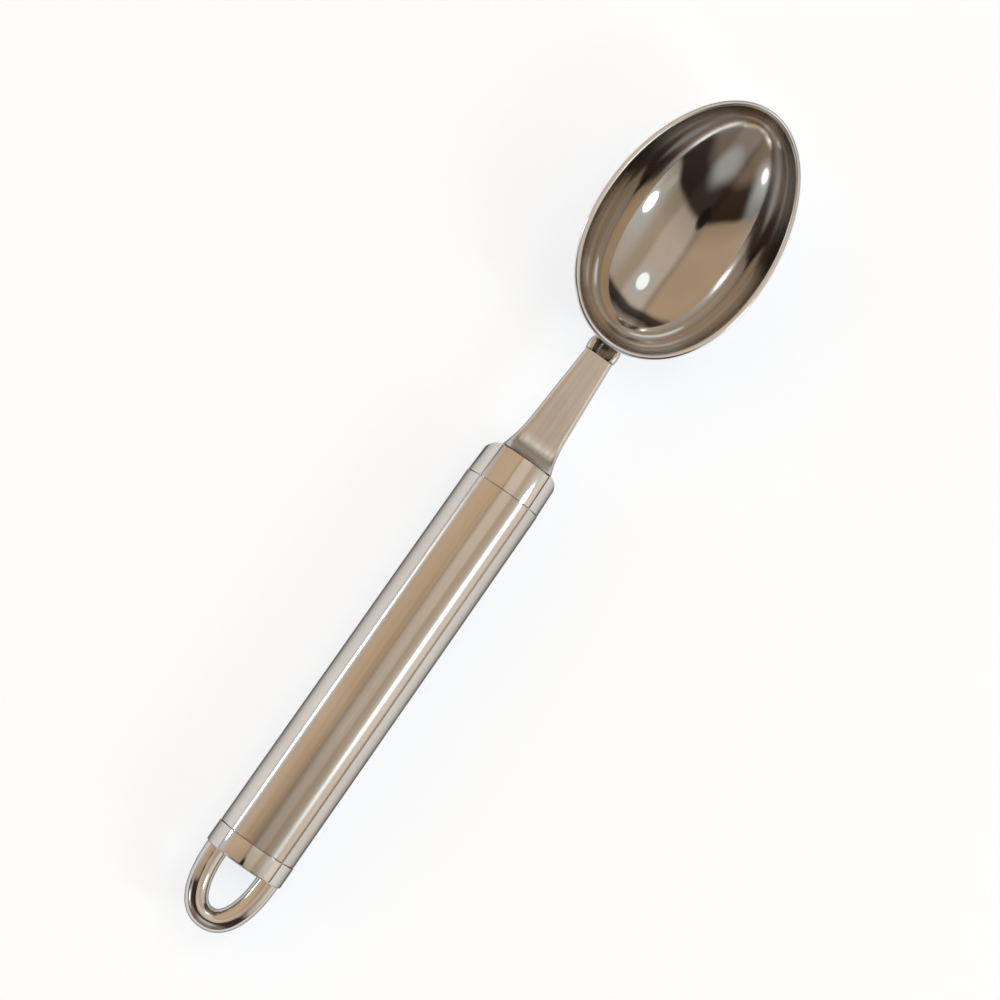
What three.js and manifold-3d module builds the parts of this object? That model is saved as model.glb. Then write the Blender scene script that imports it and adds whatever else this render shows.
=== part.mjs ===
// Ice cream scoop in stainless steel, in millimetres.
// An egg-shaped bowl on a forged shank, a tube handle with a collar, and a cap with a hanging loop.
// The scoop lies level on a table: +X runs from the loop to the bowl's tip, +Z is up out of the open bowl.
import * as THREE from "three";
import { mergeVertices } from "three/addons/utils/BufferGeometryUtils.js";
import Module from "manifold-3d";

// Handle tube
const TUBE_LENGTH = 93;
const TUBE_REAR_DIAMETER = 19.05;
const TUBE_FRONT_DIAMETER = 18.6;
const TUBE_WALL = 0.5;

// Front collar, pushed into the tube, with a flat front that the shank's foot bears on
const COLLAR_REAR_DIAMETER = 18.4;
const COLLAR_FRONT_DIAMETER = 17.9;
const COLLAR_LENGTH = 8.4;
const COLLAR_SPIGOT_LENGTH = 14;
const COLLAR_CUP_WALL = 2.2;
const COLLAR_WEB = 7.4;
const COLLAR_SHOULDER_RADIUS = 2.9;

// Shank, a forged bar with a round tang behind its foot
const SHANK_REACH = 30.4;
const SHANK_FOOT_WIDTH = 12.4;
const SHANK_NECK_WIDTH = 10.5;
const SHANK_TIP_WIDTH = 6.9;
const SHANK_THICKNESS = 3.5;
const SHANK_EDGE_RADIUS = 1.3;
const EDGE_SHARE = 0.8;
const SHANK_FLARE_LENGTH = 9;
const SHANK_FILLET_LENGTH = 5.7;
const SHANK_FILLET_SWEEP = THREE.MathUtils.degToRad(53);
const TANG_DIAMETER = 7;
const TANG_OVERHANG = 2.4;
const TANG_ROOT = 0.5;

// Bowl, pressed from sheet
const BOWL_LENGTH = 62.9;
const BOWL_WIDTH = 41.3;
const BOWL_DEPTH = 16.8;
const BOWL_WALL = 1.3;
const BOWL_LIP_RADIUS = 0.35;
const BOWL_PITCH = THREE.MathUtils.degToRad(2);
const BOWL_WIDTH_TAPER = 0.074;
const BOWL_END_FULLNESS = 0.03;
const BOWL_DEPTH_TAPER = 0.1;

// Weld between the shank's tip and the bowl's outer wall
const BOWL_WELD_LENGTH = 2.5;
const BOWL_WELD_BULGE = 0.35;
const BOWL_WELD_DISH = 1.6;
const BOWL_WELD_DROP = 5;

// Rear cap
const CAP_DIAMETER = 19.3;
const CAP_LENGTH = 5.25;
const CAP_DOME = 0.6;
const CAP_EDGE_RADIUS = 0.35;
const CAP_SPIGOT_LENGTH = 7;

// Hanging loop, a round bar with two tenons
const LOOP_WIDTH = 18.5;
const LOOP_LENGTH = 16.6;
const LOOP_BAR_DIAMETER = 5.2;
const LOOP_SQUARENESS = 2.3;
const TENON_DIAMETER = 3;

// Welds inside the handle
const TANG_WELD_LEG = 1.6;
const PLUG_WELD_RIM = 0.6;
const PLUG_WELD_HEIGHT = 1.1;

// Clearances
const FIT_CLEARANCE = 0.1;
const SEAM_GAP = 0.15;
const WELD_GAP = 0.3;

// Smoothness of the round surfaces
const ROUND_SEGMENTS = 48;
const PIN_SEGMENTS = 24;
const ARC_STEPS = 4;
const BOWL_TURNS = 56;
const BOWL_RINGS = 11;
const LIP_STEPS = 2;
const SECTION_DIVISIONS = 3;
const FILLET_STEPS = 8;
const SHANK_STEPS = 8;
const WELD_STEPS = 3;
const LOOP_STEPS = 30;

// Places along the handle's axis, from the middle of the tube
const TUBE_FRONT = TUBE_LENGTH / 2;
const TUBE_REAR = -TUBE_LENGTH / 2;
const COLLAR_SEAT = TUBE_FRONT + SEAM_GAP;
const COLLAR_FRONT = COLLAR_SEAT + COLLAR_LENGTH;
const WEB_BACK = COLLAR_FRONT - COLLAR_WEB;
const CAP_SEAT = TUBE_REAR - SEAM_GAP;
const CAP_FACE = CAP_SEAT - CAP_LENGTH;
const CAP_SPIGOT_END = CAP_SEAT + CAP_SPIGOT_LENGTH;
const SHANK_FOOT = COLLAR_FRONT + SEAM_GAP;
const BOWL_NEAR_END = SHANK_FOOT + SHANK_REACH;
const SHANK_TIP = BOWL_NEAR_END - BOWL_WELD_LENGTH;
const LOOP_LEG = (LOOP_WIDTH - LOOP_BAR_DIAMETER) / 2;
const CAP_RADIUS = CAP_DIAMETER / 2;

// Longer than anything across the handle, for cutting tools that pass right through
const THROUGH = 4 * CAP_DIAMETER;

const wasm = await Module();
wasm.setup();

function solidOf(geometry) {
  const bare = geometry.clone();
  bare.deleteAttribute("normal");
  bare.deleteAttribute("uv");
  const merged = mergeVertices(bare);
  const vertProperties = merged.attributes.position.array;
  const triVerts = new Uint32Array(merged.index.array);
  return new wasm.Manifold(new wasm.Mesh({ numProp: 3, vertProperties, triVerts }));
}

function geometryOf(solid) {
  const { vertProperties, triVerts } = solid.getMesh();
  const geometry = new THREE.BufferGeometry();
  geometry.setAttribute("position", new THREE.BufferAttribute(vertProperties, 3));
  geometry.setIndex(new THREE.BufferAttribute(triVerts, 1));
  return geometry;
}

// Revolves pairs of radius and place along X about the handle's axis.
function turned(profile, segments = ROUND_SEGMENTS) {
  const points = profile.map(([radius, x]) => new THREE.Vector2(radius, x));
  const last = points[points.length - 1];
  if (last.x > 0) points.push(points[0].clone());
  return new THREE.LatheGeometry(points, segments).rotateZ(-Math.PI / 2);
}

function pin(diameter, start, end) {
  const radius = diameter / 2;
  const length = end - start;
  const geometry = new THREE.CylinderGeometry(radius, radius, length, PIN_SEGMENTS);
  return geometry.rotateZ(-Math.PI / 2).translate((start + end) / 2, 0, 0);
}

// Skins closed rings of equally many points, and closes the two ends at their poles.
function loft(rings, startPole, endPole) {
  const count = rings[0].length;
  const points = [...rings.flat(), startPole, endPole];
  const start = points.length - 2;
  const end = points.length - 1;
  const lastRing = (rings.length - 1) * count;
  const index = [];
  for (let i = 0; i < count; i++) {
    const next = (i + 1) % count;
    index.push(start, next, i);
    for (let base = 0; base < lastRing; base += count) {
      index.push(base + i, base + next, base + count + next);
      index.push(base + i, base + count + next, base + count + i);
    }
    index.push(end, lastRing + i, lastRing + next);
  }
  return new THREE.BufferGeometry().setFromPoints(points).setIndex(index);
}

// Handle tube: thin wall, narrowing evenly from the cap to the collar.
function tubeRadius(x) {
  const share = (x - TUBE_REAR) / TUBE_LENGTH;
  return THREE.MathUtils.lerp(TUBE_REAR_DIAMETER, TUBE_FRONT_DIAMETER, share) / 2;
}

function boreRadius(x) {
  return tubeRadius(x) - TUBE_WALL;
}

function handleTube() {
  return turned([
    [boreRadius(TUBE_REAR), TUBE_REAR],
    [tubeRadius(TUBE_REAR), TUBE_REAR],
    [tubeRadius(TUBE_FRONT), TUBE_FRONT],
    [boreRadius(TUBE_FRONT), TUBE_FRONT],
  ]);
}

// Front collar: a turned cup with sides rounded in plan and a bore for the tang.
function collarRadius(x) {
  const share = (x - COLLAR_SEAT) / COLLAR_LENGTH;
  return THREE.MathUtils.lerp(COLLAR_REAR_DIAMETER, COLLAR_FRONT_DIAMETER, share) / 2;
}

function collarBlank() {
  const back = TUBE_FRONT - COLLAR_SPIGOT_LENGTH;
  const spigot = boreRadius(TUBE_FRONT) - FIT_CLEARANCE;
  const cup = spigot - COLLAR_CUP_WALL;
  const bore = TANG_DIAMETER / 2 + FIT_CLEARANCE;
  return turned([
    [cup, back],
    [spigot, back],
    [spigot, COLLAR_SEAT],
    [collarRadius(COLLAR_SEAT), COLLAR_SEAT],
    [collarRadius(COLLAR_FRONT), COLLAR_FRONT],
    [bore, COLLAR_FRONT],
    [bore, WEB_BACK],
    [cup, WEB_BACK],
  ]);
}

function collarPlan() {
  const round = COLLAR_SHOULDER_RADIUS;
  const start = COLLAR_FRONT - round;
  const side = collarRadius(start);
  const plan = new THREE.Shape();
  plan.moveTo(-THROUGH, -THROUGH);
  plan.lineTo(start, -THROUGH);
  plan.lineTo(start, -side);
  plan.absarc(start, round - side, round, -Math.PI / 2, 0);
  plan.absarc(start, side - round, round, 0, Math.PI / 2);
  plan.lineTo(start, THROUGH);
  plan.lineTo(-THROUGH, THROUGH);
  const options = { depth: 2 * THROUGH, bevelEnabled: false, curveSegments: ARC_STEPS };
  return new THREE.ExtrudeGeometry(plan, options).translate(0, 0, -THROUGH);
}

function frontCollar() {
  return geometryOf(solidOf(collarBlank()).intersect(solidOf(collarPlan())));
}

// Bowl: a half ellipsoid, wider and deeper towards the handle, with its rim in the local plane z = 0.
const OUTER_FORM = {
  halfLength: BOWL_LENGTH / 2,
  halfWidth: BOWL_WIDTH / 2,
  depth: BOWL_DEPTH + BOWL_WALL,
};

function inset(form, distance) {
  return {
    halfLength: form.halfLength - distance,
    halfWidth: form.halfWidth - distance,
    depth: form.depth - distance,
  };
}

function bowlPoint(form, slope, turn) {
  const along = Math.sin(slope) * Math.cos(turn);
  const across = Math.sin(slope) * Math.sin(turn);
  const width = 1 - BOWL_WIDTH_TAPER * along + BOWL_END_FULLNESS * along * along;
  const depth = form.depth * (1 - BOWL_DEPTH_TAPER * along) * Math.cos(slope);
  return new THREE.Vector3(form.halfLength * along, form.halfWidth * across * width, -depth);
}

function bowlRing(form, slope, height) {
  const ring = [];
  for (let i = 0; i < BOWL_TURNS; i++) {
    const point = bowlPoint(form, slope, (2 * Math.PI * i) / BOWL_TURNS);
    point.z += height;
    ring.push(point);
  }
  return ring;
}

// Rings of one skin of the bowl, from next to its pole up to the lip.
function bowlSkin(form) {
  const rings = [];
  for (let i = 1; i <= BOWL_RINGS; i++) {
    const slope = (Math.PI / 2) * (i / BOWL_RINGS);
    rings.push(bowlRing(form, slope, -BOWL_LIP_RADIUS));
  }
  return rings;
}

// One rounded edge of the lip, from the wall up to the flat land.
function lipEdge(form, inward) {
  const rings = [];
  for (let i = 1; i <= LIP_STEPS; i++) {
    const angle = (Math.PI / 2) * (i / LIP_STEPS);
    const shift = inward * BOWL_LIP_RADIUS * (1 - Math.cos(angle));
    const height = BOWL_LIP_RADIUS * (Math.sin(angle) - 1);
    rings.push(bowlRing(inset(form, shift), Math.PI / 2, height));
  }
  return rings;
}

function bowlPole(form) {
  return bowlPoint(form, 0, 0).setZ(-form.depth - BOWL_LIP_RADIUS);
}

function bowlShell() {
  const inner = inset(OUTER_FORM, BOWL_WALL);
  const outside = [...bowlSkin(OUTER_FORM), ...lipEdge(OUTER_FORM, 1)];
  const inside = [...bowlSkin(inner), ...lipEdge(inner, -1)];
  return loft([...outside, ...inside.reverse()], bowlPole(OUTER_FORM), bowlPole(inner));
}

// The outside of the bowl grown by a gap and filled, for fitting the weld to it.
function bowlFilled(gap) {
  const grown = inset(OUTER_FORM, -gap);
  const top = bowlRing(grown, Math.PI / 2, 0);
  return loft([...bowlSkin(grown), top], bowlPole(grown), new THREE.Vector3());
}

// The bowl lies with its belly level with the cap's underside, tipped up by its pitch.
const pitchedShell = bowlShell().rotateY(-BOWL_PITCH);
pitchedShell.computeBoundingBox();
const BOWL_LIFT = -CAP_RADIUS - pitchedShell.boundingBox.min.z;
const BOWL_MIDDLE = BOWL_NEAR_END + OUTER_FORM.halfLength * Math.cos(BOWL_PITCH);
const BOWL_NEAR_RIM = BOWL_LIFT - OUTER_FORM.halfLength * Math.sin(BOWL_PITCH);
const SHANK_RISE = BOWL_NEAR_RIM - BOWL_WELD_DROP;

function placedBowl(geometry) {
  return geometry.rotateY(-BOWL_PITCH).translate(BOWL_MIDDLE, 0, BOWL_LIFT);
}

// Shank: sections across X, lofted from the foot to the tip.
// The tall foot sweeps in a round fillet into a straight bar above the handle's axis.
function pastFoot(x, length) {
  return THREE.MathUtils.clamp((x - SHANK_FOOT) / length, 0, 1);
}

function shankHalfWidth(x) {
  const share = (x - SHANK_FOOT) / (SHANK_TIP - SHANK_FOOT);
  const taper = THREE.MathUtils.lerp(SHANK_NECK_WIDTH, SHANK_TIP_WIDTH, share);
  const flare = (1 - pastFoot(x, SHANK_FLARE_LENGTH)) ** 2;
  return (taper + (SHANK_FOOT_WIDTH - SHANK_NECK_WIDTH) * flare) / 2;
}

// How much of the foot's height is left over the straight bar, from one at the collar down to none.
function shankFillet(x) {
  const reach = (1 - pastFoot(x, SHANK_FILLET_LENGTH)) * Math.sin(SHANK_FILLET_SWEEP);
  return (1 - Math.cos(Math.asin(reach))) / (1 - Math.cos(SHANK_FILLET_SWEEP));
}

function shankCentre(x) {
  return SHANK_RISE * (1 - shankFillet(x));
}

// Outline of a bar with rounded edges, whose top may be dished and whose bottom may bulge.
// The rounding leaves a flat stretch on every side of a thin bar.
function barSection(x, halfWidth, middle, halfHeight, dish = 0, bulge = 0) {
  const round = Math.min(SHANK_EDGE_RADIUS, EDGE_SHARE * halfWidth, EDGE_SHARE * halfHeight);
  const flat = halfWidth - round;
  const top = middle + halfHeight;
  const bottom = middle - halfHeight;
  const outline = new THREE.Path();
  outline.moveTo(halfWidth, bottom + round);
  outline.lineTo(halfWidth, top - round);
  outline.absarc(flat, top - round, round, 0, Math.PI / 2);
  outline.quadraticCurveTo(0, top - 2 * dish, -flat, top);
  outline.absarc(-flat, top - round, round, Math.PI / 2, Math.PI);
  outline.lineTo(-halfWidth, bottom + round);
  outline.absarc(-flat, bottom + round, round, Math.PI, 1.5 * Math.PI);
  outline.quadraticCurveTo(0, bottom - 2 * bulge, flat, bottom);
  outline.absarc(flat, bottom + round, round, 1.5 * Math.PI, 2 * Math.PI);
  const points = outline.getPoints(SECTION_DIVISIONS).slice(1);
  return points.map((point) => new THREE.Vector3(x, point.x, point.y));
}

function shankSection(x) {
  const footFlat = SHANK_FOOT_WIDTH / 2 - SHANK_EDGE_RADIUS;
  const footHalfHeight = Math.sqrt(collarRadius(COLLAR_FRONT) ** 2 - footFlat ** 2);
  const halfHeight = THREE.MathUtils.lerp(SHANK_THICKNESS / 2, footHalfHeight, shankFillet(x));
  return barSection(x, shankHalfWidth(x), shankCentre(x), halfHeight);
}

function shankStations() {
  const stations = [];
  const filletEnd = SHANK_FOOT + SHANK_FILLET_LENGTH;
  for (let i = 0; i < FILLET_STEPS; i++) {
    const angle = SHANK_FILLET_SWEEP * (1 - i / FILLET_STEPS);
    const left = Math.sin(angle) / Math.sin(SHANK_FILLET_SWEEP);
    stations.push(THREE.MathUtils.lerp(filletEnd, SHANK_FOOT, left));
  }
  for (let i = 0; i <= SHANK_STEPS; i++) {
    stations.push(THREE.MathUtils.lerp(filletEnd, SHANK_TIP, i / SHANK_STEPS));
  }
  return stations;
}

function shank() {
  const rings = shankStations().map(shankSection);
  const footPole = new THREE.Vector3(SHANK_FOOT, 0, shankCentre(SHANK_FOOT));
  const tipPole = new THREE.Vector3(SHANK_TIP, 0, shankCentre(SHANK_TIP));
  const bar = solidOf(loft(rings, footPole, tipPole));
  const tang = pin(TANG_DIAMETER, WEB_BACK - TANG_OVERHANG, SHANK_FOOT + TANG_ROOT);
  return geometryOf(bar.add(solidOf(tang)));
}

// Weld bead on the bowl: a little wider than the tip, dished on top so that its sides stand up as ears.
function bowlWeld() {
  const start = SHANK_TIP + SEAM_GAP;
  const end = BOWL_NEAR_END + BOWL_WALL;
  const halfWidth = SHANK_TIP_WIDTH / 2 + BOWL_WELD_BULGE;
  const halfHeight = SHANK_THICKNESS / 2;
  const rings = [];
  for (let i = 0; i <= WELD_STEPS; i++) {
    const x = THREE.MathUtils.lerp(start, end, i / WELD_STEPS);
    rings.push(barSection(x, halfWidth, SHANK_RISE, halfHeight, BOWL_WELD_DISH, BOWL_WELD_BULGE));
  }
  const startPole = new THREE.Vector3(start, 0, SHANK_RISE);
  const endPole = new THREE.Vector3(end, 0, SHANK_RISE);
  const bead = solidOf(loft(rings, startPole, endPole));
  return geometryOf(bead.subtract(solidOf(placedBowl(bowlFilled(WELD_GAP)))));
}

// Ring weld behind the collar's web, round the tang.
function tangWeld() {
  const inner = TANG_DIAMETER / 2 + FIT_CLEARANCE;
  const seat = WEB_BACK - FIT_CLEARANCE;
  return turned([
    [inner, seat],
    [inner, seat - TANG_WELD_LEG],
    [inner + TANG_WELD_LEG, seat],
  ]);
}

// Rear cap: a band with a domed end face and a spigot in the tube, bored for the loop's tenons.
function domeProfile(shift) {
  const rim = CAP_RADIUS - CAP_EDGE_RADIUS;
  const profile = [];
  for (let i = 0; i <= ARC_STEPS; i++) {
    const radius = (rim * i) / ARC_STEPS;
    const height = CAP_DOME * (1 - (radius / rim) ** 2);
    profile.push([radius, CAP_FACE - height - shift]);
  }
  return profile;
}

function capBlank() {
  const spigot = boreRadius(CAP_SPIGOT_END) - FIT_CLEARANCE;
  return turned([
    ...domeProfile(0),
    [CAP_RADIUS, CAP_FACE + CAP_EDGE_RADIUS],
    [CAP_RADIUS, CAP_SEAT],
    [spigot, CAP_SEAT],
    [spigot, CAP_SPIGOT_END],
    [0, CAP_SPIGOT_END],
  ]);
}

function rearCap() {
  const bore = pin(TENON_DIAMETER + 2 * FIT_CLEARANCE, -THROUGH, THROUGH);
  const left = solidOf(bore.clone().translate(0, LOOP_LEG, 0));
  const right = solidOf(bore.clone().translate(0, -LOOP_LEG, 0));
  return geometryOf(solidOf(capBlank()).subtract(left).subtract(right));
}

// Middle line of the loop, from one leg round to the other.
class LoopLine extends THREE.Curve {
  getPoint(share) {
    const angle = Math.PI * (share - 0.5);
    const power = 2 / LOOP_SQUARENESS;
    const reach = LOOP_LENGTH - LOOP_BAR_DIAMETER / 2;
    const x = CAP_FACE - reach * Math.max(Math.cos(angle), 0) ** power;
    const y = LOOP_LEG * Math.sign(angle) * Math.abs(Math.sin(angle)) ** power;
    return new THREE.Vector3(x, y, 0);
  }
}

function loopBar() {
  const section = new THREE.Shape();
  section.absarc(0, 0, LOOP_BAR_DIAMETER / 2, 0, 2 * Math.PI);
  const options = { steps: LOOP_STEPS, extrudePath: new LoopLine(), curveSegments: PIN_SEGMENTS / 2 };
  return new THREE.ExtrudeGeometry(section, options);
}

// The cap's end face set off by a gap, for cutting the legs to it.
function capFaceTool() {
  return turned([...domeProfile(WELD_GAP), [THROUGH, CAP_FACE - WELD_GAP], [THROUGH, 0], [0, 0]]);
}

function hangingLoop() {
  const tenon = pin(TENON_DIAMETER, CAP_FACE - LOOP_BAR_DIAMETER / 2, CAP_SPIGOT_END - FIT_CLEARANCE);
  const bar = solidOf(loopBar()).subtract(solidOf(capFaceTool()));
  const left = solidOf(tenon.clone().translate(0, LOOP_LEG, 0));
  const right = solidOf(tenon.clone().translate(0, -LOOP_LEG, 0));
  return geometryOf(bar.add(left).add(right));
}

// Plug weld: a low button over the end of a tenon, inside the tube.
function plugWeld(side) {
  const seat = CAP_SPIGOT_END + FIT_CLEARANCE;
  const radius = TENON_DIAMETER / 2 + PLUG_WELD_RIM;
  const profile = [[0, seat]];
  for (let i = 0; i <= ARC_STEPS; i++) {
    const angle = (Math.PI / 2) * (i / ARC_STEPS);
    profile.push([radius * Math.cos(angle), seat + PLUG_WELD_HEIGHT * Math.sin(angle)]);
  }
  return turned(profile, PIN_SEGMENTS).translate(0, side * LOOP_LEG, 0);
}

const polishedSteel = new THREE.MeshStandardMaterial({ color: 0xcfc9c1, roughness: 0.06, metalness: 1 });
const satinSteel = new THREE.MeshStandardMaterial({ color: 0xc4bdb3, roughness: 0.2, metalness: 1 });
const weldSteel = new THREE.MeshStandardMaterial({ color: 0x9a958e, roughness: 0.4, metalness: 1 });

const scoop = new THREE.Group();

function addPiece(name, geometry, material) {
  geometry.computeVertexNormals();
  const mesh = new THREE.Mesh(geometry, material);
  mesh.name = name;
  scoop.add(mesh);
}

addPiece("bowl", placedBowl(bowlShell()), polishedSteel);
addPiece("bowl_weld", bowlWeld(), weldSteel);
addPiece("shank", shank(), satinSteel);
addPiece("front_collar", frontCollar(), polishedSteel);
addPiece("tang_weld", tangWeld(), weldSteel);
addPiece("handle_tube", handleTube(), satinSteel);
addPiece("rear_cap", rearCap(), polishedSteel);
addPiece("hanging_loop", hangingLoop(), polishedSteel);
addPiece("loop_weld_left", plugWeld(1), weldSteel);
addPiece("loop_weld_right", plugWeld(-1), weldSteel);

// The frame's origin is on the table, under the middle of the scoop's length.
const extent = new THREE.Box3().setFromObject(scoop, true);
scoop.position.set(-(extent.min.x + extent.max.x) / 2, 0, -extent.min.z);

export default scoop;
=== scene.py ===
"""Looks of a stainless ice cream scoop, built round its solids.

Sizes are in millimetres in the part's own frame, and become metres where they are used.
"""

import math
from collections import namedtuple

import bmesh
import bpy
from mathutils import Matrix, Vector


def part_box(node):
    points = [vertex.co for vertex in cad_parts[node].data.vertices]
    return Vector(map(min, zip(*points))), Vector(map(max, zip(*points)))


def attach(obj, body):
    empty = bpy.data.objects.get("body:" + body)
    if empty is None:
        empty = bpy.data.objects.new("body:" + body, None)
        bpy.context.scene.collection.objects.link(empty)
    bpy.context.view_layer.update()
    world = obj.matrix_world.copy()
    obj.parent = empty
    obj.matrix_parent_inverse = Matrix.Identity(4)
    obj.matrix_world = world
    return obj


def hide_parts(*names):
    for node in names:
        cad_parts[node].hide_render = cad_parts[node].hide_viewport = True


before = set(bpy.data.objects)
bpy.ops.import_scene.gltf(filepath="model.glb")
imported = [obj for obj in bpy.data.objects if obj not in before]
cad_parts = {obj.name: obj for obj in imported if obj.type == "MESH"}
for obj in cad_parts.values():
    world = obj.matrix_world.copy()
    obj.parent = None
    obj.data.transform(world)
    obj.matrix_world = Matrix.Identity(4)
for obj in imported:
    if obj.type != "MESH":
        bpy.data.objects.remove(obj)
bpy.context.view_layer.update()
MM = 0.001

# Handle tube
TUBE_REAR, TUBE_FRONT = (corner.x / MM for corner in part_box("handle_tube"))
TUBE_REAR_DIAMETER = 19.05
TUBE_FRONT_DIAMETER = 18.6
TUBE_WALL = 0.5
TUBE_EDGE_RADIUS = 0.12

# Rear cap
CAP_DIAMETER = 19.3
CAP_LENGTH = 5.25
CAP_DOME = 0.6
CAP_EDGE_RADIUS = 0.35
CAP_SEAM_RADIUS = 0.15
CAP_SPIGOT_LENGTH = 7

# Hanging loop
LOOP_WIDTH = 18.5
LOOP_LENGTH = 16.6
LOOP_BAR_DIAMETER = 5.2
LOOP_SQUARENESS = 2.3

# Front collar
COLLAR_REAR_DIAMETER = 18.4
COLLAR_FRONT_DIAMETER = 17.9
COLLAR_LENGTH = 8.4
COLLAR_SPIGOT_LENGTH = 14
COLLAR_SHOULDER_RADIUS = 2.9
COLLAR_SEAM_RADIUS = 0.12
COLLAR_EDGE_RADIUS = 0.25

# Shank
SHANK_REACH = 30.4
SHANK_FOOT_WIDTH = 12.4
SHANK_NECK_WIDTH = 10.5
SHANK_TIP_WIDTH = 6.9
SHANK_THICKNESS = 3.5
SHANK_EDGE_RADIUS = 1.3
SHANK_FLARE_LENGTH = 9
SHANK_FILLET_LENGTH = 5.7
SHANK_FILLET_SWEEP = math.radians(53)

# Bowl
BOWL_LENGTH = 62.9
BOWL_WIDTH = 41.3
BOWL_DEPTH = 16.55
BOWL_WALL = 1.3
BOWL_LIP_RADIUS = 0.6
BOWL_PITCH = math.radians(2)
BOWL_WIDTH_TAPER = 0.074
BOWL_END_FULLNESS = 0.03
BOWL_DEPTH_TAPER = 0.1

# Weld between shank and bowl, which runs some way into the bowl's wall
BOWL_WELD_LENGTH = 2.5
BOWL_WELD_BULGE = 0.35
BOWL_WELD_DISH = 1.6
BOWL_WELD_DROP = 5
BOWL_WELD_SINK = 0.6 * BOWL_WALL

# Gaps at the fits and the seams, and how far the loop runs into the cap
FIT_CLEARANCE = 0.1
SEAM_GAP = 0.15
LOOP_SINK = 0.4

# Fineness of the meshes
TURNS = 256
BOWL_TURNS = 240
BOWL_RINGS = 80
LIP_STEPS = 6
ARC_STEPS = 10
SECTION_STEPS = 24
FILLET_STEPS = 40
SHANK_STEPS = 60
LOOP_STEPS = 160
LOOP_TURNS = 64
MERGE_DISTANCE = 1e-4
SHARP_ANGLE = math.radians(32)

# Places along X, and the height of the handle's axis over the table
AXIS_HEIGHT = CAP_DIAMETER / 2
CAP_SEAT = TUBE_REAR - SEAM_GAP
CAP_FACE = CAP_SEAT - CAP_LENGTH
COLLAR_SEAT = TUBE_FRONT + SEAM_GAP
COLLAR_FRONT = COLLAR_SEAT + COLLAR_LENGTH
SHANK_FOOT = COLLAR_FRONT + SEAM_GAP
BOWL_NEAR_END = SHANK_FOOT + SHANK_REACH
SHANK_TIP = BOWL_NEAR_END - BOWL_WELD_LENGTH
BOWL_MIDDLE = BOWL_NEAR_END + BOWL_LENGTH / 2 * math.cos(BOWL_PITCH)


def lerp(start, end, share):
    return start + (end - start) * share


def shares(count):
    """Even steps from none to one."""
    return [i / count for i in range(count + 1)]


def arc(centre, radius, start, end, steps=ARC_STEPS):
    """Pairs along an arc about a centre, from one angle in degrees to another."""
    angles = [math.radians(lerp(start, end, share)) for share in shares(steps)]
    return [(centre[0] + radius * math.cos(a), centre[1] + radius * math.sin(a)) for a in angles]


def loft(rings, joined=False):
    """Points and faces of a skin over closed rings of equally many points.

    Its two ends are flat, or the last ring is joined to the first.
    """
    count = len(rings[0])
    total = len(rings) * count
    faces = []
    for base in range(0, total if joined else total - count, count):
        above = (base + count) % total
        for i in range(count):
            j = (i + 1) % count
            faces.append((base + i, base + j, above + j, above + i))
    if not joined:
        faces.append(tuple(range(count)))
        faces.append(tuple(range(total - count, total)))
    return [point for ring in rings for point in ring], faces


def turned(profile, joined=False):
    """A loft round the handle's axis through pairs of radius and place along X."""
    angles = [2 * math.pi * i / TURNS for i in range(TURNS)]
    circle = [(math.cos(angle), math.sin(angle)) for angle in angles]
    rings = []
    for radius, x in profile:
        rings.append([(x, radius * y, AXIS_HEIGHT + radius * z) for y, z in circle])
    return loft(rings, joined)


def clean_mesh(points, faces):
    """A mesh in metres, with double points merged and all faces turned outwards."""
    mesh = bpy.data.meshes.new("mesh")
    mesh.from_pydata([Vector(point) * MM for point in points], [], faces)
    form = bmesh.new()
    form.from_mesh(mesh)
    bmesh.ops.remove_doubles(form, verts=form.verts, dist=MERGE_DISTANCE * MM)
    bmesh.ops.recalc_face_normals(form, faces=form.faces)
    form.to_mesh(mesh)
    form.free()
    return mesh


def add_object(name, data):
    thing = bpy.data.objects.new(name, data)
    bpy.context.scene.collection.objects.link(thing)
    return thing


def add_piece(name, mesh, node, material):
    """Adds a smooth piece that stands for a solid and rides with the scoop."""
    mesh.name = name
    mesh.shade_smooth()
    mesh.set_sharp_from_angle(angle=SHARP_ANGLE)
    mesh.materials.append(material)
    piece = add_object(name, mesh)
    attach(piece, "root")
    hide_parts(node)


# Handle tube, a thin wall that is open at both ends
def tube_radius(x):
    share = (x - TUBE_REAR) / (TUBE_FRONT - TUBE_REAR)
    return lerp(TUBE_REAR_DIAMETER, TUBE_FRONT_DIAMETER, share) / 2


def tube_mesh():
    edge = TUBE_EDGE_RADIUS
    rear = tube_radius(TUBE_REAR)
    front = tube_radius(TUBE_FRONT)
    profile = [(rear - TUBE_WALL, TUBE_REAR)]
    profile += arc((rear - edge, TUBE_REAR + edge), edge, 270, 360)
    profile += arc((front - edge, TUBE_FRONT - edge), edge, 0, 90)
    profile += [(front - TUBE_WALL, TUBE_FRONT)]
    return clean_mesh(*turned(profile, joined=True))


# Rear cap, a band with a domed face and a spigot in the tube
def cap_mesh():
    edge = CAP_EDGE_RADIUS
    seam = CAP_SEAM_RADIUS
    radius = CAP_DIAMETER / 2
    rim = radius - edge
    spigot = tube_radius(TUBE_REAR) - TUBE_WALL - FIT_CLEARANCE
    spigot_end = CAP_SEAT + CAP_SPIGOT_LENGTH
    dome = [(rim * share, CAP_FACE - CAP_DOME * (1 - share**2)) for share in shares(SECTION_STEPS)]
    profile = dome[:-1]
    profile += arc((rim, CAP_FACE + edge), edge, 270, 360)
    profile += arc((radius - seam, CAP_SEAT - seam), seam, 0, 90)
    profile += [(spigot, CAP_SEAT), (spigot, spigot_end), (0, spigot_end)]
    return clean_mesh(*turned(profile))


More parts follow.
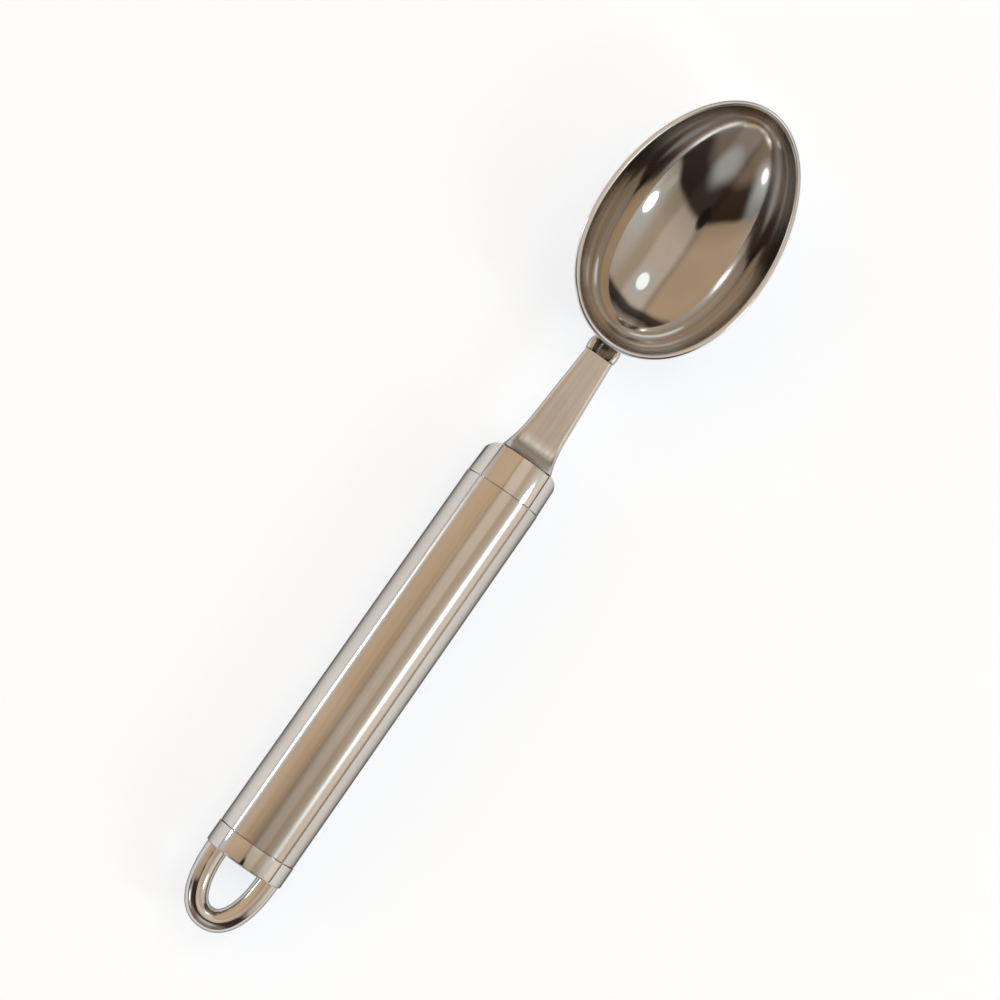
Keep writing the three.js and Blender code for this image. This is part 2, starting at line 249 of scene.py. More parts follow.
# Hanging loop, a round bar bent into a U that runs into the cap
def loop_line(share):
    """A point on the bar's middle line, from the right leg round to the left one."""
    angle = math.pi * (share - 0.5)
    power = 2 / LOOP_SQUARENESS
    reach = LOOP_LENGTH - LOOP_BAR_DIAMETER / 2
    leg = (LOOP_WIDTH - LOOP_BAR_DIAMETER) / 2
    along = max(math.cos(angle), 0) ** power
    across = math.copysign(abs(math.sin(angle)) ** power, angle)
    return Vector((CAP_FACE - reach * along, leg * across, AXIS_HEIGHT))


def loop_mesh():
    line = [loop_line(share) for share in shares(LOOP_STEPS)]
    into_cap = Vector((LOOP_SINK, 0, 0))
    line = [line[0] + into_cap, *line, line[-1] + into_cap]
    circle = arc((0, 0), LOOP_BAR_DIAMETER / 2, 0, 360, LOOP_TURNS)[:-1]
    upward = Vector((0, 0, 1))
    rings = []
    for i, centre in enumerate(line):
        before = line[max(i - 1, 0)]
        after = line[min(i + 1, len(line) - 1)]
        side = (after - before).normalized().cross(upward)
        rings.append([centre + side * y + upward * z for y, z in circle])
    return clean_mesh(*loft(rings))


# Front collar, turned, and rounded in plan
def collar_radius(x):
    share = (x - COLLAR_SEAT) / COLLAR_LENGTH
    return lerp(COLLAR_REAR_DIAMETER, COLLAR_FRONT_DIAMETER, share) / 2


def collar_blank():
    """The turned collar with its spigot in the tube."""
    seam = COLLAR_SEAM_RADIUS
    edge = COLLAR_EDGE_RADIUS
    back = TUBE_FRONT - COLLAR_SPIGOT_LENGTH
    spigot = tube_radius(TUBE_FRONT) - TUBE_WALL - FIT_CLEARANCE
    profile = [(0, back), (spigot, back), (spigot, COLLAR_SEAT)]
    profile += arc((collar_radius(COLLAR_SEAT) - seam, COLLAR_SEAT + seam), seam, 270, 360)
    profile += arc((collar_radius(COLLAR_FRONT) - edge, COLLAR_FRONT - edge), edge, 0, 90)
    profile += [(0, COLLAR_FRONT)]
    return clean_mesh(*turned(profile))


def collar_plan():
    """A tall block with the collar's outline as seen from above."""
    far = 2 * CAP_DIAMETER
    round_start = COLLAR_FRONT - COLLAR_SHOULDER_RADIUS
    centre = collar_radius(round_start) - COLLAR_SHOULDER_RADIUS
    left = arc((round_start, centre), COLLAR_SHOULDER_RADIUS, 0, 90, SECTION_STEPS)
    left += [(round_start, far), (-far, far)]
    right = [(x, -y) for x, y in left[::-1]]
    rings = [[(x, y, z) for x, y in right + left] for z in (-far, far)]
    return clean_mesh(*loft(rings))


def collar_mesh():
    """The turned collar inside its outline."""
    body = add_object("collar_body", collar_blank())
    tool = add_object("collar_tool", collar_plan())
    modifier = body.modifiers.new("outline", "BOOLEAN")
    modifier.object = tool
    modifier.operation = "INTERSECT"
    modifier.solver = "EXACT"
    shaped = body.evaluated_get(bpy.context.evaluated_depsgraph_get())
    mesh = bpy.data.meshes.new_from_object(shaped)
    bpy.data.objects.remove(body)
    bpy.data.objects.remove(tool)
    return mesh


# Bowl, a half ellipsoid, wider and deeper towards the handle, with its rim in the local plane z = 0
OUTER_FORM = (BOWL_LENGTH / 2, BOWL_WIDTH / 2, BOWL_DEPTH + BOWL_WALL)


def inset(form, distance):
    return tuple(size - distance for size in form)


def bowl_ring(form, slope, height):
    """One ring of a skin, whose slope is none at its lowest point and a right angle at its rim."""
    half_length, half_width, full_depth = form
    ring = []
    for i in range(BOWL_TURNS):
        turn = 2 * math.pi * i / BOWL_TURNS
        along = math.sin(slope) * math.cos(turn)
        across = math.sin(slope) * math.sin(turn)
        width = 1 - BOWL_WIDTH_TAPER * along + BOWL_END_FULLNESS * along**2
        depth = full_depth * (1 - BOWL_DEPTH_TAPER * along) * math.cos(slope)
        ring.append(Vector((half_length * along, half_width * across * width, height - depth)))
    return ring


def bowl_skin(form, inward):
    """Rings of one skin from its lowest point up its wall and round one edge of the lip."""
    rings = []
    for share in shares(BOWL_RINGS):
        rings.append(bowl_ring(form, math.pi / 2 * share, -BOWL_LIP_RADIUS))
    for share in shares(LIP_STEPS)[1:]:
        shift = inward * BOWL_LIP_RADIUS * (1 - math.cos(math.pi / 2 * share))
        height = BOWL_LIP_RADIUS * (math.sin(math.pi / 2 * share) - 1)
        rings.append(bowl_ring(inset(form, shift), math.pi / 2, height))
    return rings


def bowl_mesh():
    """The bowl with its tip pitched up, and the height of its rim when it stands on the table."""
    inner = inset(OUTER_FORM, BOWL_WALL)
    rings = bowl_skin(OUTER_FORM, 1) + bowl_skin(inner, -1)[::-1]
    points, faces = loft(rings)
    tip_up = Matrix.Rotation(-BOWL_PITCH, 3, "Y")
    points = [tip_up @ point for point in points]
    lift = -min(point.z for point in points)
    place = Vector((BOWL_MIDDLE, 0, lift))
    return clean_mesh([point + place for point in points], faces), lift


# Shank, sections across X lofted from a tall foot through a round fillet into a straight bar
def bar_section(x, half_width, middle, half_height, dish=0, bulge=0):
    """Outline of a bar with rounded edges, whose top may be dished and whose bottom may bulge."""
    edge = SHANK_EDGE_RADIUS
    flat = half_width - edge
    top = middle + half_height
    bottom = middle - half_height
    across = [flat * (1 - 2 * share) for share in shares(SECTION_STEPS)][1:-1]
    outline = arc((flat, top - edge), edge, 0, 90)
    outline += [(y, top - dish * (1 - (y / flat) ** 2)) for y in across]
    outline += arc((-flat, top - edge), edge, 90, 180)
    outline += arc((-flat, bottom + edge), edge, 180, 270)
    outline += [(-y, bottom - bulge * (1 - (y / flat) ** 2)) for y in across]
    outline += arc((flat, bottom + edge), edge, 270, 360)
    return [(x, y, z) for y, z in outline]


def past_foot(x, length):
    """The share of a length that lies between the shank's foot and a place along X."""
    return min(max((x - SHANK_FOOT) / length, 0), 1)


def shank_section(x, rise):
    taper = lerp(SHANK_NECK_WIDTH, SHANK_TIP_WIDTH, past_foot(x, SHANK_TIP - SHANK_FOOT))
    flare = (1 - past_foot(x, SHANK_FLARE_LENGTH)) ** 2
    half_width = (taper + (SHANK_FOOT_WIDTH - SHANK_NECK_WIDTH) * flare) / 2
    reach = (1 - past_foot(x, SHANK_FILLET_LENGTH)) * math.sin(SHANK_FILLET_SWEEP)
    fillet = (1 - math.cos(math.asin(reach))) / (1 - math.cos(SHANK_FILLET_SWEEP))
    foot_flat = SHANK_FOOT_WIDTH / 2 - SHANK_EDGE_RADIUS
    foot_half_height = math.sqrt(collar_radius(COLLAR_FRONT) ** 2 - foot_flat**2)
    half_height = lerp(SHANK_THICKNESS / 2, foot_half_height, fillet)
    return bar_section(x, half_width, AXIS_HEIGHT + rise * (1 - fillet), half_height)


def shank_mesh(rise):
    fillet_end = SHANK_FOOT + SHANK_FILLET_LENGTH
    stations = [lerp(SHANK_FOOT, fillet_end, share) for share in shares(FILLET_STEPS)]
    stations += [lerp(fillet_end, SHANK_TIP, share) for share in shares(SHANK_STEPS)][1:]
    return clean_mesh(*loft([shank_section(x, rise) for x in stations]))


# Weld bead on the bowl, dished on top so that its sides stand up as ears
def bowl_weld_mesh(rise):
    middle = AXIS_HEIGHT + rise
    half_height = SHANK_THICKNESS / 2
    rings = []
    for share in shares(SECTION_STEPS):
        x = lerp(SHANK_TIP + SEAM_GAP, BOWL_NEAR_END + BOWL_WELD_SINK, share)
        swell = BOWL_WELD_BULGE * math.sqrt(math.sin(math.pi * share))
        half_width = SHANK_TIP_WIDTH / 2 + swell
        ring = bar_section(x, half_width, middle, half_height, BOWL_WELD_DISH, BOWL_WELD_BULGE)
        rings.append(ring)
    return clean_mesh(*loft(rings))


# Noises, in cells per metre, and the middle part of a noise that carries tones and roughness
NOISE_LOW = 0.3
NOISE_HIGH = 0.7
NOISE_DETAIL = 3
ALL_WAYS = (1, 1, 1)


def opaque(colour):
    return (*colour, 1)


def new_material(name):
    """A material with its nodes and its shader."""
    material = bpy.data.materials.new(name)
    material.use_nodes = True
    tree = material.node_tree
    return material, tree, tree.nodes["Principled BSDF"]


def feed(tree, value, socket):
    """Links a node's output to a socket, or sets the socket to a plain value."""
    if isinstance(value, bpy.types.NodeSocket):
        tree.links.new(value, socket)
    else:
        socket.default_value = value


def math_node(tree, operation, *values):
    node = tree.nodes.new("ShaderNodeMath")
    node.operation = operation
    for value, socket in zip(values, node.inputs):
        feed(tree, value, socket)
    return node.outputs["Value"]


def vector_math(tree, operation, first, second):
    node = tree.nodes.new("ShaderNodeVectorMath")
    node.operation = operation
    feed(tree, first, node.inputs[0])
    feed(tree, second, node.inputs[1])
    gives_number = operation in ("DOT_PRODUCT", "DISTANCE")
    return node.outputs["Value" if gives_number else "Vector"]


def mixed(tree, blend, factor, first, second):
    """Two colours, blended by a factor."""
    node = tree.nodes.new("ShaderNodeMix")
    node.data_type = "RGBA"
    node.blend_type = blend
    feed(tree, factor, node.inputs["Factor"])
    feed(tree, first, node.inputs["A"])
    feed(tree, second, node.inputs["B"])
    return node.outputs["Result"]


def place_on(tree):
    """The place of a point in the part's frame, in metres."""
    return tree.nodes.new("ShaderNodeTexCoord").outputs["Object"]


def axes(tree, vector):
    """The three numbers of a vector, by the names X, Y and Z."""
    node = tree.nodes.new("ShaderNodeSeparateXYZ")
    tree.links.new(vector, node.inputs["Vector"])
    return node.outputs


def noise(tree, scale, stretch=ALL_WAYS, detail=NOISE_DETAIL):
    """A noise over a piece, which is drawn out along an axis where the stretch is under one."""
    mapping = tree.nodes.new("ShaderNodeMapping")
    mapping.inputs["Scale"].default_value = stretch
    tree.links.new(place_on(tree), mapping.inputs["Vector"])
    texture = tree.nodes.new("ShaderNodeTexNoise")
    texture.inputs["Scale"].default_value = scale
    texture.inputs["Detail"].default_value = detail
    tree.links.new(mapping.outputs["Vector"], texture.inputs["Vector"])
    return texture.outputs["Fac"]


def eased(tree, value, low, high, ends=(0, 1)):
    """A value eased from the range between low and high into another one."""
    node = tree.nodes.new("ShaderNodeMapRange")
    node.interpolation_type = "SMOOTHSTEP"
    node.inputs["From Min"].default_value = low
    node.inputs["From Max"].default_value = high
    node.inputs["To Min"].default_value, node.inputs["To Max"].default_value = ends
    tree.links.new(value, node.inputs["Value"])
    return node.outputs["Result"]


def spread(tree, value, ends):
    """The middle part of a noise spread over a range of numbers."""
    return eased(tree, value, NOISE_LOW, NOISE_HIGH, ends)


def ramp(tree, value, stops):
    """Colours by a value from none to one, through stops of position and colour."""
    node = tree.nodes.new("ShaderNodeValToRGB")
    elements = node.color_ramp.elements
    while len(elements) < len(stops):
        elements.new(0.5)
    for element, (position, colour) in zip(elements, stops):
        element.position = position
        element.color = opaque(colour)
    tree.links.new(value, node.inputs["Fac"])
    return node.outputs["Color"]


def toned(tree, value, tones):
    """The middle part of a noise spread over two tones."""
    return ramp(tree, value, list(zip((NOISE_LOW, NOISE_HIGH), tones)))


def bump(tree, value, height, under=None):
    """A bump of a height in millimetres, on top of another one where there is one."""
    node = tree.nodes.new("ShaderNodeBump")
    node.inputs["Distance"].default_value = height * MM
    tree.links.new(value, node.inputs["Height"])
    if under:
        tree.links.new(under, node.inputs["Normal"])
    return node.outputs["Normal"]


# The share of light that metals reflect at their edges, full on the bowl and set low on the other
# metals so that their flanks carry painted shade from under the scoop, and fine scratches along the
# handle
BRIGHT_EDGE = 1
# Low edge tint: painted shade, which darkens the reflections on the flanks as if the shade under
# the scoop showed there
SHADED_EDGE_TINT = 0.15
SCRATCH_SCALE = 900
SCRATCH_STRETCH = (0.15, 1, 1)
SCRATCH_HEIGHT = 0.001


def new_metal(name, edge_tint):
    """A metal that reflects a share of the light at its edges."""
    material, tree, shader = new_material(name)
    shader.inputs["Metallic"].default_value = 1
    shader.inputs["Specular Tint"].default_value = opaque((edge_tint, edge_tint, edge_tint))
    return material, tree, shader


def scratches(tree, under=None):
    return bump(tree, noise(tree, SCRATCH_SCALE, SCRATCH_STRETCH), SCRATCH_HEIGHT, under)


# Polished steel of the collar and the cap, and of the loop, whose forged bar is wavier
HAZE_SCALE = 70
POLISHED_TONES = ((0.62, 0.59, 0.55), (0.68, 0.65, 0.61))
POLISHED_ROUGHNESS = (0.05, 0.1)
POLISHED_WAVE_SCALE = 220
POLISHED_WAVE_HEIGHT = 0.004
FORGED_WAVE_HEIGHT = 0.09
WAVE_DETAIL = 1


def polished_steel(name, wave_height):
    material, tree, shader = new_metal(name, SHADED_EDGE_TINT)
    haze = noise(tree, HAZE_SCALE)
    tree.links.new(toned(tree, haze, POLISHED_TONES), shader.inputs["Base Color"])
    tree.links.new(spread(tree, haze, POLISHED_ROUGHNESS), shader.inputs["Roughness"])
    waves = bump(tree, noise(tree, POLISHED_WAVE_SCALE, detail=WAVE_DETAIL), wave_height)
    tree.links.new(scratches(tree, waves), shader.inputs["Normal"])
    return material


# Mirror steel of the bowl, darkened inside as painted shade, whose wall, brightened as a painted
# reflection, starts and is full at two heights, negative under the rim
# Darker tones inside the bowl: painted shade in its hollow, which dims the reflections there
BOWL_PAINTED_SHADE_TONES = ((0.47, 0.44, 0.41), (0.52, 0.49, 0.46))
MIRROR_ROUGHNESS = (0.05, 0.09)
WALL_START = -0.75 * BOWL_DEPTH
WALL_FULL = -0.35 * BOWL_DEPTH
# The inner wall brightened as a painted reflection, most towards the handle
WALL_NEAR_PAINTED_REFLECTION = (0.95, 0.92, 0.88)
WALL_TIP_PAINTED_REFLECTION = (0.75, 0.72, 0.69)
WALL_ROUGHNESS = 0.1
# The lip's lighter tone is a painted highlight; its added roughness is its ground satin finish
LIP_PAINTED_HIGHLIGHT = (0.72, 0.74, 0.76)
LIP_ROUGHNESS = 0.07


def over_rim(tree, rim_height):
    """The height over the plane of the bowl's rim, in metres."""
    normal = Vector((-math.sin(BOWL_PITCH), 0, math.cos(BOWL_PITCH)))
    rim = normal.dot(Vector((BOWL_MIDDLE, 0, rim_height))) * MM
    level = vector_math(tree, "DOT_PRODUCT", place_on(tree), normal)
    return math_node(tree, "SUBTRACT", level, rim)


def in_bowl(tree, rim_height):
    """One where the surface faces the middle of the bowl's mouth, and none where it faces away."""
    middle = Vector((BOWL_MIDDLE, 0, rim_height)) * MM
    offset = vector_math(tree, "SUBTRACT", place_on(tree), middle)
    normal = tree.nodes.new("ShaderNodeNewGeometry").outputs["Normal"]
    facing_away = vector_math(tree, "DOT_PRODUCT", offset, normal)
    return eased(tree, facing_away, -BOWL_WALL * MM, 0, (1, 0))


def painted_wall_reflection(tree):
    """A painted reflection on the bowl's inner wall, brighter towards the handle."""
    quarter = BOWL_LENGTH / 4
    near = (BOWL_MIDDLE - quarter) * MM
    far = (BOWL_MIDDLE + quarter) * MM
    towards_tip = eased(tree, axes(tree, place_on(tree))["X"], near, far)
    return ramp(tree, towards_tip, [(0, WALL_NEAR_PAINTED_REFLECTION), (1, WALL_TIP_PAINTED_REFLECTION)])


def mirror_steel(rim_height):
    """A mirror at the bottom, darkened inside the bowl as painted shade, softer up the inner wall
    and brightened there as a painted reflection, with a satin lip lightened as a painted highlight,
    and a plain outside.
    """
    material, tree, shader = new_metal("mirror_steel", BRIGHT_EDGE)
    haze = noise(tree, HAZE_SCALE)
    height = over_rim(tree, rim_height)
    inside = in_bowl(tree, rim_height)
    wall = eased(tree, height, WALL_START * MM, WALL_FULL * MM)
    lip = eased(tree, height, -BOWL_LIP_RADIUS * MM, -BOWL_LIP_RADIUS / 2 * MM)
    # Up the inner wall, the painted reflection over the painted shade of the bowl
    colour = mixed(tree, "MIX", wall, toned(tree, haze, BOWL_PAINTED_SHADE_TONES), painted_wall_reflection(tree))
    # Inside the bowl, the painted shade and the painted wall reflection; outside, the plain
    # polished tones
    colour = mixed(tree, "MIX", inside, toned(tree, haze, POLISHED_TONES), colour)
    # The lip lightened as a painted highlight
    colour = mixed(tree, "MIX", lip, colour, opaque(LIP_PAINTED_HIGHLIGHT))
    tree.links.new(colour, shader.inputs["Base Color"])
    inner_wall = math_node(tree, "MULTIPLY", wall, inside)
    roughness = spread(tree, haze, MIRROR_ROUGHNESS)
    roughness = math_node(tree, "MULTIPLY_ADD", inner_wall, WALL_ROUGHNESS, roughness)
    roughness = math_node(tree, "MULTIPLY_ADD", lip, LIP_ROUGHNESS, roughness)
    tree.links.new(roughness, shader.inputs["Roughness"])
    tree.links.new(scratches(tree), shader.inputs["Normal"])
    return material


# Satin steel of the tube, and the rougher brushed steel of the shank, both with a grain along X
SATIN_HAZE_SCALE = 50
SATIN_TONES = ((0.62, 0.58, 0.53), (0.68, 0.645, 0.6))
GRAIN_SCALE = 1500
GRAIN_STRETCH = (0.01, 1, 1)
GRAIN_HEIGHT = 0.004
GRAIN_SPREAD = 0.2
SATIN_WAVE_SCALE = 90
SATIN_WAVE_STRETCH = (0.3, 1, 1)
SATIN_WAVE_HEIGHT = 0.02
SATIN_ROUGHNESS = 0.22
SATIN_DRAWN_OUT = 0.85
BRUSHED_WAVE_HEIGHT = 0.12
BRUSHED_ROUGHNESS = 0.36
BRUSHED_DRAWN_OUT = 0
QUARTER_TURN = 0.25


def satin_steel(name, roughness, drawn_out, wave_height):
    """Steel whose reflections may be drawn out along the handle."""
    material, tree, shader = new_metal(name, SHADED_EDGE_TINT)
    haze = noise(tree, SATIN_HAZE_SCALE)
    tree.links.new(toned(tree, haze, SATIN_TONES), shader.inputs["Base Color"])
    grain = noise(tree, GRAIN_SCALE, GRAIN_STRETCH)
    ends = ((1 - GRAIN_SPREAD) * roughness, (1 + GRAIN_SPREAD) * roughness)
    tree.links.new(spread(tree, grain, ends), shader.inputs["Roughness"])
    tangent = tree.nodes.new("ShaderNodeTangent")
    tangent.direction_type = "RADIAL"
    tangent.axis = "X"
    tree.links.new(tangent.outputs["Tangent"], shader.inputs["Tangent"])
    shader.inputs["Anisotropic"].default_value = drawn_out
    shader.inputs["Anisotropic Rotation"].default_value = QUARTER_TURN
    wave = noise(tree, SATIN_WAVE_SCALE, SATIN_WAVE_STRETCH, WAVE_DETAIL)
    waves = bump(tree, wave, wave_height)
    tree.links.new(bump(tree, grain, GRAIN_HEIGHT, waves), shader.inputs["Normal"])
    return material


# Weld steel, with heat-tint blotches that are kept to the dished middle as painted shade of its
# hollow, and bright on the ears, which start and are full at two distances from the middle plane
HEAT_SCALE = 500
# Dark tones of the middle: heat tint, and painted shade of the dished hollow
HEAT_TINT_AND_SHADE_TONES = ((0.07, 0.055, 0.045), (0.3, 0.27, 0.24))
EAR_COLOUR = (0.6, 0.58, 0.55)
EAR_START = 0.2 * SHANK_TIP_WIDTH
EAR_FULL = 0.4 * SHANK_TIP_WIDTH
WELD_ROUGHNESS = (0.15, 0.3)
RIPPLE_SCALE = 1400
RIPPLE_HEIGHT = 0.03


def weld_steel():
    material, tree, shader = new_metal("weld_steel", SHADED_EDGE_TINT)
    blotches = noise(tree, HEAT_SCALE)
    off_middle = math_node(tree, "ABSOLUTE", axes(tree, place_on(tree))["Y"])
    ear = eased(tree, off_middle, EAR_START * MM, EAR_FULL * MM)
    # Heat tint and painted shade in the middle, plain bright steel on the ears
    colour = mixed(tree, "MIX", ear, toned(tree, blotches, HEAT_TINT_AND_SHADE_TONES), opaque(EAR_COLOUR))
    tree.links.new(colour, shader.inputs["Base Color"])
    tree.links.new(spread(tree, blotches, WELD_ROUGHNESS), shader.inputs["Roughness"])
    ripples = bump(tree, noise(tree, RIPPLE_SCALE), RIPPLE_HEIGHT)
    tree.links.new(ripples, shader.inputs["Normal"])
    return material


# The pieces, with the shank raised from the handle's axis to its place under the bowl's rim
BOWL, RIM_HEIGHT = bowl_mesh()
NEAR_RIM = RIM_HEIGHT - BOWL_LENGTH / 2 * math.sin(BOWL_PITCH)
SHANK_RISE = NEAR_RIM - BOWL_WELD_DROP - AXIS_HEIGHT

MIRROR = mirror_steel(RIM_HEIGHT)
POLISHED = polished_steel("polished_steel", POLISHED_WAVE_HEIGHT)
FORGED = polished_steel("forged_steel", FORGED_WAVE_HEIGHT)
SATIN = satin_steel("satin_steel", SATIN_ROUGHNESS, SATIN_DRAWN_OUT, SATIN_WAVE_HEIGHT)
BRUSHED = satin_steel("brushed_steel", BRUSHED_ROUGHNESS, BRUSHED_DRAWN_OUT, BRUSHED_WAVE_HEIGHT)
WELD = weld_steel()

add_piece("bowl_polished", BOWL, "bowl", MIRROR)
add_piece("bowl_weld_bead", bowl_weld_mesh(SHANK_RISE), "bowl_weld", WELD)
add_piece("shank_forged", shank_mesh(SHANK_RISE), "shank", BRUSHED)
add_piece("front_collar_polished", collar_mesh(), "front_collar", POLISHED)
add_piece("handle_tube_satin", tube_mesh(), "handle_tube", SATIN)
add_piece("rear_cap_polished", cap_mesh(), "rear_cap", POLISHED)
add_piece("hanging_loop_polished", loop_mesh(), "hanging_loop", FORGED)

# The welds inside the handle keep their solids
for node in ("tang_weld", "loop_weld_left", "loop_weld_right"):
    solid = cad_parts[node]
    solid.data.materials.clear()
    solid.data.materials.append(WELD)

# Floor, lifted to white for the camera and for reflections, and still shaded by the scoop
FLOOR_HALF = 40000
FLOOR_TONES = ((0.87, 0.9, 0.93), (0.88, 0.91, 0.94))
FLOOR_CLOUD_SCALE = 3
FLOOR_ROUGHNESS = 0.9
FLOOR_LIFT = (0.51, 0.55, 0.6)


def floor_material():
    material, tree, shader = new_material("pale_floor")
    clouds = noise(tree, FLOOR_CLOUD_SCALE)
    tree.links.new(toned(tree, clouds, FLOOR_TONES), shader.inputs["Base Color"])
    shader.inputs["Roughness"].default_value = FLOOR_ROUGHNESS
    shader.inputs["Specular IOR Level"].default_value = 0
    shader.inputs["Emission Color"].default_value = opaque(FLOOR_LIFT)
    rays = tree.nodes.new("ShaderNodeLightPath").outputs
    mirrored = math_node(tree, "MAXIMUM", rays["Is Glossy Ray"], rays["Is Transmission Ray"])
    seen = math_node(tree, "MAXIMUM", rays["Is Camera Ray"], mirrored)
    tree.links.new(seen, shader.inputs["Emission Strength"])
    return material


def add_floor():
    signs = ((-1, -1), (1, -1), (1, 1), (-1, 1))
    corners = [(x * FLOOR_HALF, y * FLOOR_HALF, 0) for x, y in signs]
    mesh = clean_mesh(corners, [(0, 1, 2, 3)])
    mesh.materials.append(floor_material())
    add_object("floor", mesh)


add_floor()

# Room, a warm light whose colours change along the handle, across it and with height
ROOM_ALONG = [
    (0, (0.3, 0.24, 0.2)),
    (0.2, (0.32, 0.26, 0.22)),
    (0.27, (0.07, 0.05, 0.04)),
    (0.405, (0.05, 0.033, 0.027)),
    (0.43, (0.54, 0.44, 0.35)),
    (0.54, (0.74, 0.6, 0.475)),
    (0.88, (0.74, 0.6, 0.475)),
    (0.91, (0.1, 0.08, 0.07)),
    (0.95, (0.06, 0.05, 0.045)),
    (1, (0.55, 0.45, 0.37)),
]
ROOM_ACROSS = [
    (0.03, (1.5, 1.65, 1.75)),
    (0.07, (1.05, 1.15, 1.25)),
    (0.12, (1.05, 1.15, 1.25)),
    (0.22, (0.85, 0.88, 0.85)),
    (0.3, (0.85, 0.84, 0.8)),
    (0.35, (1.15, 1.2, 1.25)),
    (0.55, (1.15, 1.2, 1.25)),
    (0.6, (0.7, 0.7, 0.68)),
    (0.65, (1, 0.92, 0.78)),
    (0.95, (1, 0.92, 0.8)),
]
ROOM_UP = [
    (0, (0.05, 0.05, 0.05)),
    (0.05, (0.1, 0.1, 0.1)),
    (0.12, (0.85, 0.85, 0.85)),
    (0.5, (1, 1, 1)),
]
ROOM_BOW = 0.25
ROOM_WANDER = 0.12
ROOM_WANDER_SCALE = 2

# Soft patches of the room, with directions in degrees and radii on a sphere of radius one
Patch = namedtuple("Patch", "azimuth zenith inner outer colour")
ROOM_PATCHES = [
    Patch(190, 41, 0.1, 0.36, (0.6, 0.63, 0.6)),
    Patch(145, 14, 0.07, 0.1, (0.02, 0.014, 0.012)),
    Patch(-105, 52, 0.06, 0.1, (0.72, 0.7, 0.6)),
    Patch(120, 64, 0.1, 0.3, (0.4, 0.42, 0.4)),
]

# Oval lamps with a soft glow round each, with directions in degrees and power in watts
Lamp = namedtuple("Lamp", "azimuth zenith width height power")
LAMPS = {
    "right_lamp": Lamp(azimuth=-87, zenith=56, width=180, height=250, power=0.8),
    "left_lamp": Lamp(azimuth=95, zenith=81, width=160, height=120, power=0.5),
    "front_lamp": Lamp(azimuth=-14, zenith=36, width=260, height=260, power=0.22),
    "rear_lamp": Lamp(azimuth=132, zenith=68, width=220, height=220, power=0.25),
}
LAMP_DISTANCE = 1200
LAMP_COLOUR = (0.85, 0.94, 1)
GLOW_COLOUR = (0.75, 0.79, 0.79)
GLOW_REACH = 0.36
LIGHT_BOUNCES = 16


def sky_direction(azimuth, zenith):
    turn = math.radians(azimuth)
    lean = math.radians(zenith)
    level = math.sin(lean)
    return Vector((level * math.cos(turn), level * math.sin(turn), math.cos(lean)))


def wandering_direction(tree):
    """Directions into the room, shifted by a slow noise so that its edges aren't straight."""
    straight = tree.nodes.new("ShaderNodeTexCoord").outputs["Generated"]
    wander = tree.nodes.new("ShaderNodeTexNoise")
    wander.inputs["Scale"].default_value = ROOM_WANDER_SCALE
    wander.inputs["Detail"].default_value = 0
    tree.links.new(straight, wander.inputs["Vector"])
    centred = vector_math(tree, "SUBTRACT", wander.outputs["Color"], Vector((0.5, 0.5, 0.5)))
    shift = vector_math(tree, "MULTIPLY", centred, Vector((ROOM_WANDER, ROOM_WANDER, 0)))
    return vector_math(tree, "ADD", straight, shift)


def room_tones(tree, direction):
    """The room's colours along the handle, bowed at the sides, times those across and upwards."""
    x, y, z = axes(tree, direction)
    bow = math_node(tree, "MULTIPLY", y, y)
    bowed = math_node(tree, "MULTIPLY_ADD", bow, ROOM_BOW, x)
    along = math_node(tree, "MULTIPLY_ADD", bowed, 0.5, 0.5)
    across = math_node(tree, "MULTIPLY_ADD", y, 0.5, 0.5)
    colour = ramp(tree, along, ROOM_ALONG)
    colour = mixed(tree, "MULTIPLY", 1, colour, ramp(tree, across, ROOM_ACROSS))
    return mixed(tree, "MULTIPLY", 1, colour, ramp(tree, z, ROOM_UP))


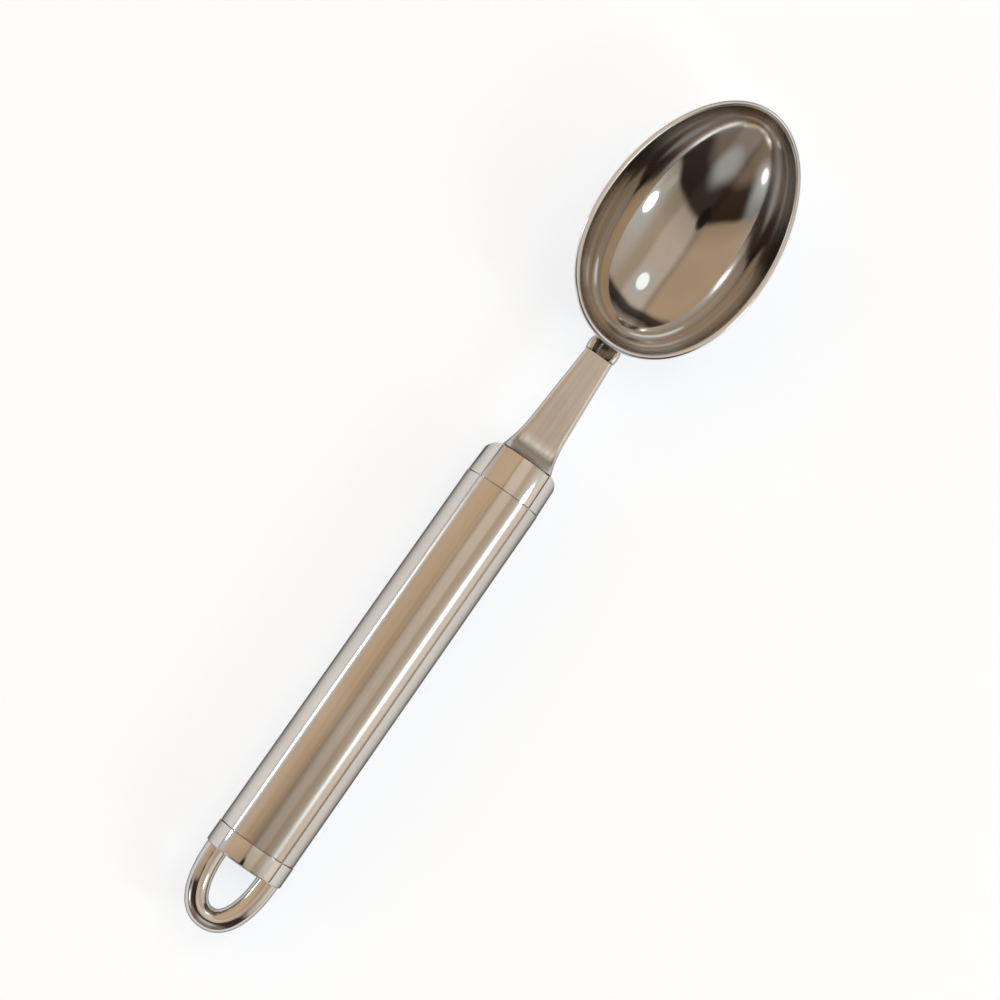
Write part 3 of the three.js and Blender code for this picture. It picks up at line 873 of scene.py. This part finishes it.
def add_room():
    world = bpy.data.worlds.new("room")
    world.use_nodes = True
    bpy.context.scene.world = world
    tree = world.node_tree
    direction = wandering_direction(tree)
    colour = room_tones(tree, direction)
    glows = []
    for lamp in LAMPS.values():
        glows.append(Patch(lamp.azimuth, lamp.zenith, 0, GLOW_REACH, GLOW_COLOUR))
    for patch in ROOM_PATCHES + glows:
        middle = sky_direction(patch.azimuth, patch.zenith)
        offset = vector_math(tree, "DISTANCE", direction, middle)
        inside = eased(tree, offset, patch.inner, patch.outer, (1, 0))
        colour = mixed(tree, "MIX", inside, colour, opaque(patch.colour))
    tree.links.new(colour, tree.nodes["Background"].inputs["Color"])


def add_lamp(name, lamp):
    """An oval lamp that faces the scoop."""
    light = bpy.data.lights.new(name, "AREA")
    light.shape = "ELLIPSE"
    light.size = lamp.width * MM
    light.size_y = lamp.height * MM
    light.energy = lamp.power
    light.color = LAMP_COLOUR
    outward = sky_direction(lamp.azimuth, lamp.zenith)
    holder = add_object(name, light)
    holder.location = outward * LAMP_DISTANCE * MM
    holder.rotation_euler = outward.to_track_quat("Z", "Y").to_euler()


add_room()
for name, lamp in LAMPS.items():
    add_lamp(name, lamp)
bpy.context.scene.cycles.max_bounces = LIGHT_BOUNCES
bpy.context.scene.cycles.glossy_bounces = LIGHT_BOUNCES

# Camera, placed as in the photo: nearly overhead, with the handle rising to the right
CAMERA_PLACE = Vector((-38.1, 45, 649.7)) * MM
CAMERA_AIM = Vector((5.05, -0.44, 9.65)) * MM
HANDLE_ANGLE = math.radians(55.03)
FOCAL_SHARE = 2.9295
SENSOR_WIDTH = 36


def add_camera():
    back = (CAMERA_PLACE - CAMERA_AIM).normalized()
    handle = Vector((1, 0, 0))
    along = (handle - back * handle.dot(back)).normalized()
    across = back.cross(along)
    right = along * math.cos(HANDLE_ANGLE) - across * math.sin(HANDLE_ANGLE)
    up = along * math.sin(HANDLE_ANGLE) + across * math.cos(HANDLE_ANGLE)
    lens = bpy.data.cameras.new("camera")
    lens.sensor_width = SENSOR_WIDTH
    lens.lens = FOCAL_SHARE * SENSOR_WIDTH
    camera = add_object("camera", lens)
    turn = Matrix((right, up, back)).transposed().to_4x4()
    camera.matrix_world = Matrix.Translation(CAMERA_PLACE) @ turn
    bpy.context.scene.camera = camera


add_camera()
bpy.context.scene.view_settings.view_transform = "Standard"
